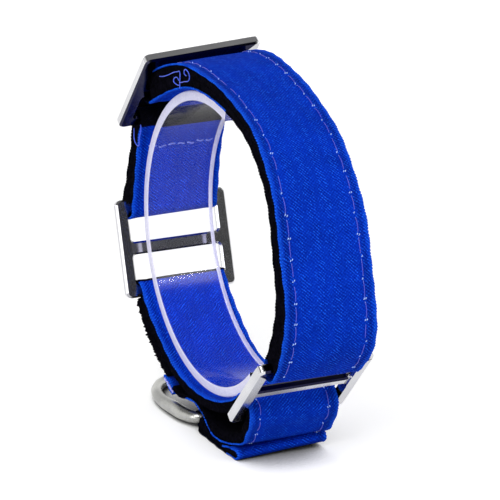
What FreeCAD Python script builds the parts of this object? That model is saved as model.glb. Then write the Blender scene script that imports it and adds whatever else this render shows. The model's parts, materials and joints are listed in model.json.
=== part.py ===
import FreeCAD, Part
import math
import os

# A short gait belt closed into a standing ring and held open by a clear C-shaped former.
# Three doubled straps run round the ring between three three-bar sliders.
# Angles are in degrees about the ring's axis, which runs along Y; 0 is +X and 90 is up.
# The straps are drawn as profiles in the XZ plane and extruded over their width.

V = FreeCAD.Vector

# ---- straps (mm) ----
strap_width = 50.0          # standard webbing
webbing_thickness = 1.6     # woven nylon
pile_thickness = 2.8        # each pile tape, between the two runs of a doubled strap
fold_half_gap = 4.4         # from a bar's centre to the inside of the fold round it
pile_to_bar = 5.4           # from a bar's centre to the end of the pile tapes
layer_gap = 0.05            # between a tape and the webbing that it is sewn to
taper_share = 0.27          # of a strap's length, over which it thins away from a fold

# ---- ring and former ----
former_radius = 80.8        # outside
former_lift = 22.6          # of the former above the floor, for the straps under it
former_thickness = 5.4
former_width = 39.0
former_clearance = 0.35     # between the former and the straps round it
former_start = 66.0         # the C is open on the side of the front strap
former_end = 305.0
former_edge_radius = 0.9

# ---- sliders ----
slider_side_gap = 1.0       # between the strap's edge and the side plates
slider_side = 6.8           # width of each side plate, along Y
slider_height = 53.8        # along the strap
slider_thickness = 4.4
slider_bar = 7.0            # height of each cross bar
slider_corner = 3.2
window_corner = 2.0
slider_chamfer = 1.0
bottom_slider_standoff = 10.65   # of each slider's centre from the former's clearance
top_slider_standoff = 11.75
left_slider_standoff = 5.25
bottom_slider_angle = 321.1      # about the ring's axis
top_slider_angle = 131.7
left_slider_angle = 196.6
bottom_slider_facing = 316.5     # angle that its outer face points to
top_slider_facing = 144.5
left_slider_facing = 196.6
lower_strap_turn = 112.4         # from that facing to the lower strap's way at its start

# ---- closing strap, D-ring and tail, heights above the floor ----
closing_top_gap = 0.55      # under the lower strap, where the closing strap is highest
closing_top_x = -4.0
closing_low_height = 4.0    # where it lies on the tail
closing_low_x = 24.0
closing_pile_end = 0.47     # share of the closing strap that carries pile
tab_end_angle = 243.5       # where the tab's cut end lies under the lower strap
outer_run_end = 245.5       # where the lower strap's outer run stops, under the tab
wire_diameter = 5.5
ring_fold_width = 43.0      # the webbing is gathered narrower inside the D-ring
wire_clearance = 0.5        # between the D-ring's side and the gathered webbing
wire_fit = 0.25             # round the D-ring's bar inside its fold
ring_bar_x = -6.5           # of the D-ring's straight bar, under the closing strap's top
ring_bow_depth = 45.5       # from the straight bar to the centre of the bow
ring_corner = 3.0
tail_pile = 1.9             # thickness of the pile on the tail at its hem
pad_start_height = 5.0      # of the thick pile that fills the space under the closing strap
tail_hinge_x = 1.0          # where the flap peels away from the fold, hinged at its underside
tail_length = 47.0          # from there to the middle of the hem
wrap_leg = 15.0             # of the fold's upper leg, under the closing strap
wrap_hang = ((0.45, 0.9), (0.72, 0.3), (1.0, 0.0))    # how far it hangs below, by its share
wrap_rise = 40.0            # direction in which that leg leaves the D-ring's bar
wrap_fall = -30.0           # and in which it ends
hem_half_gap = 0.9
hem_leg = 8.0
peel_gap = 0.3              # between the tail flap and what it lies against

# ---- pile tape behind the top slider's window, between the folds of two straps ----
window_tape_start = 135.2
window_tape_end = 146.0
window_tape_lift = 1.2      # above the former's clearance
window_tape_thickness = 1.8

# ---- stitching ----
seam_inset = 5.5            # of a seam from the strap's edge
front_seams_start = 0.03    # shares of each strap's length
front_seams_end = 0.90
closing_seams_end = 0.24
upper_cross_seam = 0.22
tab_cross_seam = 0.95
stitch_length = 7.4
stitch_pitch = 11.0
stitch_width = 0.9
stitch_height = 0.5
cross_stitch_length = 3.4
cross_stitch_pitch = 5.0

samples = 44                # along each edge of a strap

total_gap = fold_half_gap + webbing_thickness
half_strap = pile_thickness + webbing_thickness
hug_radius = former_radius + former_clearance
ring_height = former_radius + former_lift
slider_inside = strap_width + 2 * slider_side_gap
slider_length = slider_inside + 2 * slider_side
bar_pitch = (slider_height - slider_bar) / 2
bottom_slider_place = (hug_radius + bottom_slider_standoff, bottom_slider_angle,
                       bottom_slider_facing)
top_slider_place = (hug_radius + top_slider_standoff, top_slider_angle, top_slider_facing)
left_slider_place = (hug_radius + left_slider_standoff, left_slider_angle, left_slider_facing)


def unit(degrees):
    angle = math.radians(degrees)
    return V(math.cos(angle), 0, math.sin(angle))


def polar(radius, degrees):
    return V(0, 0, ring_height) + unit(degrees) * radius


def place(x, z):
    return V(x, 0, z)


# ---- curves in the profile plane ----

def through(points, first_way, last_way):
    """A smooth curve through the points with these directions at its two ends. Between them
    each point's direction is that of the circle through it and its two neighbours."""
    steps = [b - a for a, b in zip(points, points[1:])]
    ways = [first_way]
    for before, after in zip(steps, steps[1:]):
        way = before * (after.Length / before.Length) + after * (before.Length / after.Length)
        ways.append(way.normalize())
    ways.append(last_way)
    curve = Part.BSplineCurve()
    curve.interpolate(Points=points, Tangents=ways, TangentFlags=[True] * len(points))
    return curve


def spline(points, start, end):
    """A smooth curve through the points that leaves and arrives at the given angles."""
    return through(points, unit(start), unit(end))


def turn(centre, radius, start, end):
    middle = (start + end) / 2
    return Part.Arc(*[centre + unit(a) * radius for a in (start, middle, end)])


def sample(curve, distance, share):
    """The point beside the curve at a share of its length, and its direction there.
    A positive distance is to the right of the travel, which is away from the ring's axis."""
    first, last = curve.FirstParameter, curve.LastParameter
    parameter = first + share * (last - first)
    tangent = curve.tangent(parameter)[0]
    right = V(tangent.z, 0, -tangent.x)
    return curve.value(parameter) + right * distance(share), tangent


def beside(curve, distance, start=0.0, end=1.0):
    """The edge that keeps the distance from a curve; distance is a function of the share."""
    found = [sample(curve, distance, start + (end - start) * i / samples)
             for i in range(samples + 1)]
    result = through([point for point, _ in found], found[0][1], found[-1][1])
    return result.toShape()


def level(value):
    return lambda share: value


def tapered(at_ends, between, sign=1):
    """A distance that is at_ends at a fold and eases to between along the strap."""
    def distance(share):
        to_end = min(share, 1 - share) / taper_share
        ease = 0.5 + 0.5 * math.cos(math.pi * min(to_end, 1))
        return sign * (between + (at_ends - between) * ease)
    return distance


def extrude(edges, width=strap_width):
    """A closed profile extruded over the strap's width, evenly about Y = 0."""
    solid = Part.Face(Part.Wire(Part.sortEdges(edges)[0])).extrude(V(0, width, 0))
    solid.translate(V(0, -width / 2, 0))
    if solid.Volume < 0:
        solid.reverse()
    return solid


def joined(edges_a, edges_b):
    """Two chains of edges side by side, closed by straight ends."""
    ends = []
    for pick in (0, -1):
        a, b = edges_a[pick], edges_b[pick]
        a_point = a.valueAt(a.FirstParameter if pick == 0 else a.LastParameter)
        b_point = b.valueAt(b.FirstParameter if pick == 0 else b.LastParameter)
        ends.append(Part.makeLine(a_point, b_point))
    return list(edges_a) + list(edges_b) + ends


def strip(curves, near, far, start=0.0, end=1.0, width=strap_width):
    """One layer along a chain of curves, from the distance near to the distance far."""
    def chain(distance):
        edges = []
        for i, curve in enumerate(curves):
            lo = start if i == 0 else 0.0
            hi = end if i == len(curves) - 1 else 1.0
            edges.append(beside(curve, distance, lo, hi))
        return edges
    return extrude(joined(chain(near), chain(far)), width)


def fold_arc(centre, direction, radius):
    """Half a circle round a bar, on the side that the direction points to."""
    side = V(direction.z, 0, -direction.x)
    stops = (side * radius, direction * radius, side * -radius)
    return Part.Arc(*[centre + stop for stop in stops]).toShape()


def share_at(curve, distance, from_end=False):
    """The share of a curve at which it has come that far from its start, or its end."""
    total = curve.length()
    return 1 - distance / total if from_end else distance / total


# ---- sliders ----

def slider_bar_centre(slider_place, which):
    """Centre of a slider's cross bar: -1, 0 or 1, counted along the travel round the ring."""
    radius, angle, facing = slider_place
    return polar(radius, angle) + unit(facing + 90) * (bar_pitch * which)


def rounded_block(length, height, corner, thickness):
    """A flat block with round corners, about the middle of its lower face."""
    x, y, r = length / 2, height / 2, corner
    arcs = []
    for i, (sx, sy) in enumerate(((1, 1), (-1, 1), (-1, -1), (1, -1))):
        centre = V(sx * (x - r), sy * (y - r), 0)
        stops = [centre + V(sx * r, 0, 0), centre + V(sx * r, sy * r, 0) * math.sqrt(0.5),
                 centre + V(0, sy * r, 0)]
        if i % 2:
            stops.reverse()
        arcs.append(Part.Arc(*stops).toShape())
    loop = []
    for arc, following in zip(arcs, arcs[1:] + arcs[:1]):
        loop.append(arc)
        loop.append(Part.makeLine(arc.valueAt(arc.LastParameter),
                                  following.valueAt(following.FirstParameter)))
    return Part.Face(Part.Wire(loop)).extrude(V(0, 0, thickness))


def make_slider(slider_place):
    """A flat frame with a middle bar, its long edges chamfered, set into its place."""
    window = (slider_height - 3 * slider_bar) / 2
    plate = rounded_block(slider_length, slider_height, slider_corner, slider_thickness)
    for sign in (1, -1):
        opening = rounded_block(slider_inside, window, window_corner, slider_thickness)
        opening.translate(V(0, sign * (window + slider_bar) / 2, 0))
        plate = plate.cut(opening)
    plate.translate(V(0, 0, -slider_thickness / 2))
    flat_edges = [edge for edge in plate.Edges if edge.BoundBox.ZLength < 0.01]
    plate = plate.makeChamfer(slider_chamfer, flat_edges)
    radius, angle, facing = slider_place
    centre, travel, out = polar(radius, angle), unit(facing + 90), unit(facing)
    # local X runs along Y, local Y along the travel round the ring, local Z outward
    turned = FreeCAD.Matrix(0, travel.x, out.x, centre.x,
                            1, 0, 0, 0,
                            0, travel.z, out.z, centre.z,
                            0, 0, 0, 1)
    placed = plate.copy()
    placed.Placement = FreeCAD.Placement(turned)
    return placed


# ---- doubled straps ----

def window_tape():
    """Pile behind the top slider's window, seen between the two folds."""
    radii = [hug_radius + window_tape_lift, hug_radius + window_tape_lift + window_tape_thickness]
    arcs = [turn(place(0, ring_height), radius, window_tape_start, window_tape_end).toShape()
            for radius in radii]
    return extrude(joined(arcs[:1], arcs[1:]))


def doubled_webbing(curve):
    """Webbing that runs out along one side of the curve, round a bar at its end, back along
    the other side and round the bar at its start."""
    def loop(fold_radius, between):
        start, start_way = sample(curve, level(0), 0.0)
        end, end_way = sample(curve, level(0), 1.0)
        return [beside(curve, tapered(fold_radius, between)),
                fold_arc(end, end_way, fold_radius),
                beside(curve, tapered(fold_radius, between, -1)),
                fold_arc(start, start_way * -1, fold_radius)]
    return extrude(loop(total_gap, half_strap)).cut(extrude(loop(fold_half_gap, pile_thickness)))


def pile_tape(curve, sign):
    """The pile tape on the inner face of one run: sign 1 is the outer run, -1 the inner."""
    full = tapered(fold_half_gap - layer_gap, pile_thickness - layer_gap, sign)
    start = share_at(curve, pile_to_bar)
    end = share_at(curve, pile_to_bar, from_end=True)
    return strip([curve], level(sign * layer_gap / 2), full, start, end)


# mid-line of each doubled strap, from bar to bar, against the clock seen from the front;
# the front strap stands off the former where the C is open
front_bulge = ((20.15, -15), (18.75, -3), (16.65, 9), (16.25, 22), (15.75, 35),
               (13.95, 48), (10.45, 62), (7.85, 78), (7.45, 95), (8.25, 112))
front_curve = spline(
    [slider_bar_centre(bottom_slider_place, 1)]
    + [polar(hug_radius + bulge, a) for bulge, a in front_bulge]
    + [slider_bar_centre(top_slider_place, 0)], 47, 209)
upper_curve = spline(
    [slider_bar_centre(top_slider_place, 1)]
    + [polar(hug_radius + half_strap + 0.6, a) for a in (159, 168)]
    + [slider_bar_centre(left_slider_place, -1)], 238, 258)

# blue face of the lower strap, which goes round the bottom slider's last bar and back
lower_start = slider_bar_centre(left_slider_place, 1)
lower_way = left_slider_facing + lower_strap_turn
lower_first = lower_start + unit(lower_way + 90) * total_gap
closing_bar = slider_bar_centre(bottom_slider_place, -1)
closing_radius = fold_half_gap + total_gap
closing_facing = bottom_slider_place[2]
lower_curve = spline(
    [lower_first]
    + [polar(hug_radius + extra, a)
       for extra, a in ((1.2, 224), (0.15, 236), (0, 250), (0, 266), (0.1, 281), (1.2, 294))]
    + [closing_bar + unit(closing_facing - 180) * closing_radius], lower_way, closing_facing - 270)
closing_turn = turn(closing_bar, closing_radius, closing_facing - 180, closing_facing - 360)
tab_radius = hug_radius + 2 * total_gap + webbing_thickness
closing_start = closing_bar + unit(closing_facing) * closing_radius
closing_top = ring_height - hug_radius - total_gap - webbing_thickness - closing_top_gap
closing_rise = closing_top - closing_low_height


def down_to_low(along, up):
    """A point between the lowest place and the slider, as shares of the way in X and Z."""
    return place(closing_low_x + (closing_start.x - closing_low_x) * along,
                 closing_low_height + (closing_start.z - closing_low_height) * up)


def up_to_top(along, up):
    """A point between the lowest and the highest place of the closing strap."""
    return place(closing_low_x + (closing_top_x - closing_low_x) * along,
                 closing_low_height + closing_rise * up)


# past its highest place the closing strap dips over the D-ring's fold, then joins the tab
closing_curve = spline(
    [closing_start, down_to_low(0.823, 0.472), down_to_low(0.566, 0.239),
     down_to_low(0.283, 0.074), down_to_low(0, 0), up_to_top(0.304, 0.158),
     up_to_top(0.607, 0.693), up_to_top(1, 1), up_to_top(1.286, 0.941),
     up_to_top(1.536, 0.832), up_to_top(1.75, 0.802), polar(tab_radius + 0.1, 251),
     polar(tab_radius + 0.1, tab_end_angle)],
    closing_facing - 90, tab_end_angle - 90)


def lower_strap():
    """The lower strap: webbing, its pile, the fold at the left slider and the outer run."""
    pile_start = share_at(lower_curve, pile_to_bar)
    webbing = strip([lower_curve], level(0), level(webbing_thickness))
    fold_edges = [fold_arc(lower_start, unit(lower_way + 180), radius)
                  for radius in (fold_half_gap, total_gap)]
    side = unit(lower_way + 90)
    caps = [Part.makeLine(lower_start + side * (sign * fold_half_gap),
                          lower_start + side * (sign * total_gap)) for sign in (1, -1)]
    fold = extrude(fold_edges + caps)
    webbing = webbing.fuse(fold).removeSplitter()
    inner_pile = strip([lower_curve], level(webbing_thickness + layer_gap),
                       level(total_gap - layer_gap), pile_start, 1.0)
    outer_end = (outer_run_end - lower_way_angle()) / lower_sweep()
    outer_run = strip([lower_curve], level(total_gap), level(2 * total_gap),
                      pile_start, outer_end)
    return webbing, inner_pile, outer_run


def lower_way_angle():
    start = lower_curve.value(lower_curve.FirstParameter)
    return math.degrees(math.atan2(start.z - ring_height, start.x)) % 360


def lower_sweep():
    end = lower_curve.value(lower_curve.LastParameter)
    return math.degrees(math.atan2(end.z - ring_height, end.x)) % 360 - lower_way_angle()


def closing_strap():
    """The same strap past the slider: down, along the tail and up to its sewn-on tab."""
    curves = [closing_turn, closing_curve]
    webbing = strip(curves, level(0), level(webbing_thickness))
    pile = strip(curves, level(webbing_thickness + layer_gap), level(total_gap - layer_gap),
                 0.0, closing_pile_end)
    return webbing, pile


# ---- D-ring and tail ----

ring_fold_gap = wire_diameter / 2 + wire_fit
ring_bar = place(ring_bar_x, ring_fold_gap + webbing_thickness)
ring_half_width = ring_fold_width / 2 + wire_clearance + wire_diameter / 2


def make_d_ring():
    """A round wire bent to a D: its straight bar lies in the fold and its bow on the floor."""
    bow_x = -ring_bow_depth
    w, r = ring_half_width, ring_corner
    corner = r * (1 - math.sqrt(0.5))
    edges = [Part.makeLine(V(0, -(w - r), 0), V(0, w - r, 0)),
             Part.Arc(V(0, w - r, 0), V(-corner, w - corner, 0), V(-r, w, 0)).toShape(),
             Part.makeLine(V(-r, w, 0), V(bow_x, w, 0)),
             Part.Arc(V(bow_x, w, 0), V(bow_x - w, 0, 0), V(bow_x, -w, 0)).toShape(),
             Part.makeLine(V(bow_x, -w, 0), V(-r, -w, 0)),
             Part.Arc(V(-r, -w, 0), V(-corner, -(w - corner), 0), V(0, -(w - r), 0)).toShape()]
    path = Part.Wire(edges)
    section = Part.Wire(Part.makeCircle(wire_diameter / 2, V(0, 0, 0), V(0, 1, 0)))
    pipe = path.makePipeShell([section], True, False)
    drop = ring_bar.z - wire_diameter / 2
    slope = math.degrees(math.asin(drop / (ring_bow_depth + ring_half_width)))
    pipe.rotate(V(0, 0, 0), V(0, 1, 0), -slope)
    pipe.translate(ring_bar)
    return pipe


def tail_fold():
    """The webbing round the D-ring's bar: a lower leg on the floor, an upper leg sewn to
    the closing strap."""
    def edge_pair(radius):
        lower = Part.makeLine(place(tail_hinge_x, ring_bar.z - radius),
                              place(ring_bar_x, ring_bar.z - radius))
        bend = Part.Arc(place(ring_bar_x, ring_bar.z - radius),
                        place(ring_bar_x - radius, ring_bar.z),
                        place(ring_bar_x, ring_bar.z + radius)).toShape()
        lift = radius - ring_bar.z
        points = [place(ring_bar_x, ring_bar.z + radius)]
        for share, hang in wrap_hang:
            x = ring_bar_x + wrap_leg * share
            points.append(place(x, closing_height(x) - peel_gap - hang + lift))
        upper = spline(points, wrap_rise, wrap_fall).toShape()
        return [lower, bend, upper]
    return extrude(joined(edge_pair(ring_bar.z), edge_pair(ring_fold_gap)), ring_fold_width)


def closing_height(x):
    """Height of the closing strap's blue face above the floor, in front of the tab."""
    line = Part.makeLine(place(x, 0), place(x, ring_height / 3))
    found = closing_curve.toShape().distToShape(line)
    return found[1][0][0].z


def pad(base):
    """The thick pile on the tail, which follows the straps over it."""
    start, end = tail_hinge_x + peel_gap, tail_hinge_x + tail_length - hem_leg
    leg_end = ring_bar_x + wrap_leg
    low_points = [closing_low_x - wrap_leg / 2, closing_low_x]
    under_leg = closing_height(leg_end) - webbing_thickness - 3 * peel_gap
    top = spline([place(start, pad_start_height),
                  place(start + wrap_leg / 7,
                        closing_height(start) - 2 * (webbing_thickness + peel_gap)),
                  place(leg_end, under_leg)]
                 + [place(x, closing_height(x) - 2 * peel_gap) for x in low_points]
                 + [place(end, base + tail_pile)], 75, 0)
    corners = [place(start, pad_start_height), place(start, base), place(end, base),
               place(end, base + tail_pile)]
    return extrude([top.toShape()] + [Part.makeLine(a, b) for a, b in zip(corners, corners[1:])])


def tail_flap():
    """The free end: webbing on the floor with pile on top, then a rolled hem."""
    hem_x = tail_hinge_x + tail_length
    t, g = webbing_thickness, hem_half_gap
    axis = place(hem_x, t + g)

    def edge_pair(radius):
        low = Part.makeLine(place(tail_hinge_x + peel_gap, axis.z - radius),
                            place(hem_x, axis.z - radius))
        bend = Part.Arc(place(hem_x, axis.z - radius), place(hem_x + radius, axis.z),
                        place(hem_x, axis.z + radius)).toShape()
        back = Part.makeLine(place(hem_x, axis.z + radius),
                             place(hem_x - hem_leg, axis.z + radius))
        return [low, bend, back]
    webbing = extrude(joined(edge_pair(t + g), edge_pair(g)))
    filler = Part.makeBox(hem_leg, strap_width, 2 * (g - layer_gap),
                          V(hem_x - hem_leg, -strap_width / 2, t + layer_gap))
    return webbing, pad(t + layer_gap), filler


# ---- former and stitching ----

def make_former():
    inner = former_radius - former_thickness
    axis = V(0, 0, ring_height)
    arcs = [turn(axis, radius, former_start, former_end).toShape()
            for radius in (inner, former_radius)]
    ends = [Part.makeLine(polar(inner, a), polar(former_radius, a))
            for a in (former_start, former_end)]
    body = extrude(arcs + ends, former_width)
    rims = [edge for edge in body.Edges if edge.Length > former_radius]
    return body.makeFillet(former_edge_radius, rims)


def stitch(curve, distance, first, last, width):
    """One stitch on a run's face, between two shares of the curve."""
    sign = 1 if distance(0.5) >= 0 else -1
    rows = []
    for lift in (layer_gap, stitch_height):
        stops = [sample(curve, lambda share: distance(share) + sign * lift, share)[0]
                 for share in (first, (first + last) / 2, last)]
        rows.append(Part.Arc(*stops).toShape())
    return extrude(joined([rows[0]], [rows[1]]), width)


def edge_seams(curve, distance, start, end):
    """Two rows of stitches along a run's face, one near each edge of the strap."""
    length = curve.length()
    stitches = []
    for i in range(int((end - start) * length / stitch_pitch)):
        first = start + (i + 0.5) * stitch_pitch / length
        body = stitch(curve, distance, first, first + stitch_length / length, stitch_width)
        for side in (1, -1):
            stitches.append(body.translated(V(0, side * (strap_width / 2 - seam_inset), 0)))
    return stitches


def cross_seam(curve, distance, share):
    """A row of stitches across the strap on a run's face."""
    half = stitch_width / 2 / curve.length()
    body = stitch(curve, distance, share - half, share + half, cross_stitch_length)
    count = int((strap_width - 2 * seam_inset) / cross_stitch_pitch)
    return [body.translated(V(0, (i - (count - 1) / 2) * cross_stitch_pitch, 0))
            for i in range(count)]


# ---- all the sub-parts ----

lower_webbing, lower_pile, lower_outer = lower_strap()
closing_webbing, closing_pile = closing_strap()
flap_webbing, flap_pile, flap_filler = tail_flap()
front_face = tapered(total_gap, half_strap)
upper_face = tapered(total_gap, half_strap, -1)
blue_face = level(-1e-6)

nodes = {
    "front_strap_webbing": doubled_webbing(front_curve),
    "front_loop_pile": pile_tape(front_curve, 1),
    "front_hook_pile": pile_tape(front_curve, -1),
    "upper_strap_webbing": doubled_webbing(upper_curve),
    "upper_loop_pile": pile_tape(upper_curve, 1),
    "upper_hook_pile": Part.Compound([pile_tape(upper_curve, -1), window_tape()]),
    "lower_strap_webbing": lower_webbing,
    "lower_loop_pile": lower_pile,
    "lower_outer_run": lower_outer,
    "closing_strap_webbing": closing_webbing,
    "closing_strap_pile": closing_pile,
    "d_ring_fold": tail_fold(),
    "tail_webbing": flap_webbing,
    "tail_pile": flap_pile,
    "tail_hem_filler": flap_filler,
    "d_ring": make_d_ring(),
    "bottom_slider": make_slider(bottom_slider_place),
    "top_slider": make_slider(top_slider_place),
    "left_slider": make_slider(left_slider_place),
    "clear_former": make_former(),
    "front_stitching": Part.Compound(edge_seams(front_curve, front_face,
                                                front_seams_start, front_seams_end)),
    "closing_stitching": Part.Compound(edge_seams(closing_curve, blue_face, 0.0, closing_seams_end)),
    "cross_stitching": Part.Compound(cross_seam(upper_curve, upper_face, upper_cross_seam)
                                     + cross_seam(closing_curve, blue_face, tab_cross_seam)),
}

# the origin is the middle of the whole part's footprint, on the floor
whole = Part.Compound(list(nodes.values())).optimalBoundingBox()
to_origin = V(-whole.Center.x, -whole.Center.y, -whole.ZMin)

os.makedirs("parts", exist_ok=True)
for name, shape in nodes.items():
    shape.translated(to_origin).exportStep("parts/" + name + ".step")
print("moved by", to_origin, "size", whole.XLength, whole.YLength, whole.ZLength)
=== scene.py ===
import json
import math
import random

import bpy
import numpy as np
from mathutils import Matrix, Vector


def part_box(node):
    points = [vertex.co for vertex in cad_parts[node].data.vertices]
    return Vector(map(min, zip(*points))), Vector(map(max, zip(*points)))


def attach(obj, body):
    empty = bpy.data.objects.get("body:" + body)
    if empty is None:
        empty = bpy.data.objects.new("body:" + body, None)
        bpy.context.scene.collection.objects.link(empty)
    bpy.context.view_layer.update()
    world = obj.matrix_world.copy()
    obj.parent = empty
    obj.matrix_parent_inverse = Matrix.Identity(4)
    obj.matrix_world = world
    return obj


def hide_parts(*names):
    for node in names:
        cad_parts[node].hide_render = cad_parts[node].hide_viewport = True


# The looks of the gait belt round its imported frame. Profiles are drawn in the XZ plane in
# millimetres, as (x, z); the strap's width runs along Y, with its near edge at -Y. Angles are
# degrees. On a strap, s is the distance along it and y the place across it.

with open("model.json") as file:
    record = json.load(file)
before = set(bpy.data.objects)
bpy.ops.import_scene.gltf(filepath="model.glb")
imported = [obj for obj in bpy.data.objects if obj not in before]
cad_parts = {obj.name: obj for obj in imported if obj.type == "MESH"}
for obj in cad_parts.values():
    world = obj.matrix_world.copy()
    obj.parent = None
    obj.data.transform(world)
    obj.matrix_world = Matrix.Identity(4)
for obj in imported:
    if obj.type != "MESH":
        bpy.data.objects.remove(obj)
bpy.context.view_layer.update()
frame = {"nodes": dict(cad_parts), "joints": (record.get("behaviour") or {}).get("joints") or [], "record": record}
MM = 0.001

# ---- places taken from the frame ----
mounts = {mount["name"]: mount for mount in frame["record"]["mounts"]}
joints = {joint["name"]: joint for joint in frame["joints"]}
AXIS = np.array(mounts["loop"]["pos_m"])[[0, 2]] / MM
SLIDER_FACING = {"bottom_slider": 316.5, "top_slider": 144.5, "left_slider": 196.6}


def breadth(node):
    """A node's size along Y, in millimetres."""
    low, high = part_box(node)
    return (high.y - low.y) / MM


def joint_place(name):
    return np.array(joints[name]["pos_m"])[[0, 2]] / MM


def unit(degrees):
    return np.array([math.cos(math.radians(degrees)), math.sin(math.radians(degrees))])


def polar(radius, degrees):
    return AXIS + unit(degrees) * radius


def bar(slider, which):
    """Centre of a slider's cross bar: -1, 0 or 1 along the travel round the ring."""
    return joint_place(slider + "_rock") + unit(SLIDER_FACING[slider] + 90) * BAR_PITCH * which


# ---- sizes, in millimetres ----
FORMER_RADIUS = AXIS[1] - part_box("clear_former")[0].z / MM
STRAP_WIDTH = breadth("tail_webbing")
BAR_PITCH = 23.4                         # between the cross bars of a slider
HUG = FORMER_RADIUS + 0.35               # radius at which a strap lies on the former
WEBBING = 1.0                            # thickness
FOLD = 6.0                               # from a slider's bar to the outside of its fold
PILE_SINK = 0.15                         # of pile into the webbing that carries it
PILE_GAP = 0.12                          # between the two tapes of a doubled strap
PILE_WIDTH = STRAP_WIDTH - 0.5
WEFT_PITCH = 1.7                         # of the yarn loops along the selvedge
EDGE_BAND = 1.8                          # width of the painted highlight along each edge
EDGE_STRIPE = 3.3                        # inset of the painted shade stripe beside it
SEAM_INSET = 5.5                         # of each seam from the strap's edge
SEAM_Y = STRAP_WIDTH / 2 - SEAM_INSET
STITCH_PITCH = 11.0
STITCH_LENGTH = 8.6
NEAR_MARGIN = 2.6 - STRAP_WIDTH / 2      # the near edge is painted black as far as this: partly pile, partly painted shade
WIRE = 5.5                               # diameter of the D-ring's wire
THREAD_SIDES = 7                         # of the tubes that make the stitches


# ---- curves ----

def through(points, first_way, last_way, step=0.4):
    """A smooth curve through the points, as samples a step apart. Columns after x and z,
    such as a thickness, are carried along smoothly."""
    p = np.array(points, float)
    steps = np.diff(p, axis=0)
    lengths = np.linalg.norm(steps, axis=1)[:, None]
    ways = steps[:-1] / lengths[:-1] * lengths[1:] + steps[1:] / lengths[1:] * lengths[:-1]
    ways /= np.linalg.norm(ways, axis=1)[:, None]
    blank = np.zeros(p.shape[1] - 2)
    ways = np.vstack([np.r_[unit(first_way), blank], ways, np.r_[unit(last_way), blank]])
    t = np.linspace(0, 1, 60, endpoint=False)[:, None]
    spans = []
    for a, b, wa, wb, length in zip(p, p[1:], ways, ways[1:], lengths):
        spans.append((2 * t ** 3 - 3 * t ** 2 + 1) * a + (t ** 3 - 2 * t ** 2 + t) * wa * length
                     + (3 * t ** 2 - 2 * t ** 3) * b + (t ** 3 - t ** 2) * wb * length)
    return resample(np.vstack(spans + [p[-1:]]), step)


def arc(centre, radius, start, end, step=0.4):
    count = max(int(abs(math.radians(end - start)) * radius / step), 6)
    return np.array([centre + unit(a) * radius for a in np.linspace(start, end, count + 1)])


def travelled(points):
    """Distance along the points, up to each of them."""
    return np.r_[0, np.cumsum(np.linalg.norm(np.diff(points[:, :2], axis=0), axis=1))]


def resample(points, step):
    s = travelled(points)
    count = max(int(round(s[-1] / step)), 2)
    at = np.linspace(0, s[-1], count + 1)
    return np.column_stack([np.interp(at, s, column) for column in points.T])


def outward(points):
    """Unit normals to the right of the travel."""
    way = np.gradient(points[:, :2], axis=0)
    way /= np.maximum(np.linalg.norm(way, axis=1)[:, None], 1e-9)
    return np.column_stack([way[:, 1], -way[:, 0]])


def matched(near, far):
    """The two curves with as many samples, at equal shares of their lengths."""
    count = max(len(near), len(far))
    result = []
    for curve in (near, far):
        s = travelled(curve) / travelled(curve)[-1]
        at = np.linspace(0, 1, count)
        result.append(np.column_stack([np.interp(at, s, column) for column in curve.T]))
    return result


class Face:
    """A surface between a near and a far edge curve, with their normals: a strap's face."""

    def __init__(self, near, far, near_out, far_out):
        self.near, self.far = near, far
        self.near_out, self.far_out = near_out, far_out
        self.s = travelled((near + far) / 2)
        self.length = self.s[-1]

    def at(self, s, y, lift):
        """Points at distances along and across the strap, raised by lift. Arrays broadcast."""
        s, y, lift = np.broadcast_arrays(s, y, lift)
        share = y / STRAP_WIDTH + 0.5
        result = []
        for axis in (0, 1):
            near = np.interp(s, self.s, self.near[:, axis])
            far = np.interp(s, self.s, self.far[:, axis])
            near_out = np.interp(s, self.s, self.near_out[:, axis])
            far_out = np.interp(s, self.s, self.far_out[:, axis])
            out = near_out + (far_out - near_out) * share
            result.append(near + (far - near) * share + out * lift)
        return np.stack([result[0], y, result[1]], axis=-1)

    def raised(self, lift):
        """The face beside this one."""
        return Face(self.near + self.near_out * lift, self.far + self.far_out * lift,
                    self.near_out, self.far_out)

    def part(self, start, end):
        """The stretch between two shares of the rows of samples."""
        rows = len(self.s) - 1
        keep = slice(int(round(start * rows)), int(round(end * rows)) + 1)
        return Face(self.near[keep], self.far[keep], self.near_out[keep], self.far_out[keep])


def face_along(near, far=None, flip=False):
    """The face on a line's right, or on its left if flipped; a far line gives it twist."""
    near, far = matched(near, near if far is None else far)
    sign = -1 if flip else 1
    return Face(near[:, :2], far[:, :2], outward(near) * sign, outward(far) * sign)


# ---- meshes ----

def add_object(name, data):
    made = bpy.data.objects.new(name, data)
    bpy.context.scene.collection.objects.link(made)
    return made


def make_mesh(name, points, faces, material, uv=None, shade=None):
    """A piece from points in millimetres. uv and shade give one value per point."""
    mesh = bpy.data.meshes.new(name)
    mesh.from_pydata((np.asarray(points) * MM).tolist(), [], faces)
    if uv is not None:
        layer = mesh.uv_layers.new(name="strap")
        corners = np.empty(len(mesh.loops), int)
        mesh.loops.foreach_get("vertex_index", corners)
        layer.data.foreach_set("uv", np.asarray(uv, np.float32)[corners].ravel())
    if shade is not None:
        attribute = mesh.attributes.new("shade", "FLOAT", "POINT")
        attribute.data.foreach_set("value", np.asarray(shade, np.float32))
    mesh.polygons.foreach_set("use_smooth", [True] * len(mesh.polygons))
    mesh.materials.append(material)
    mesh.validate()
    return add_object(name, mesh)


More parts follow.
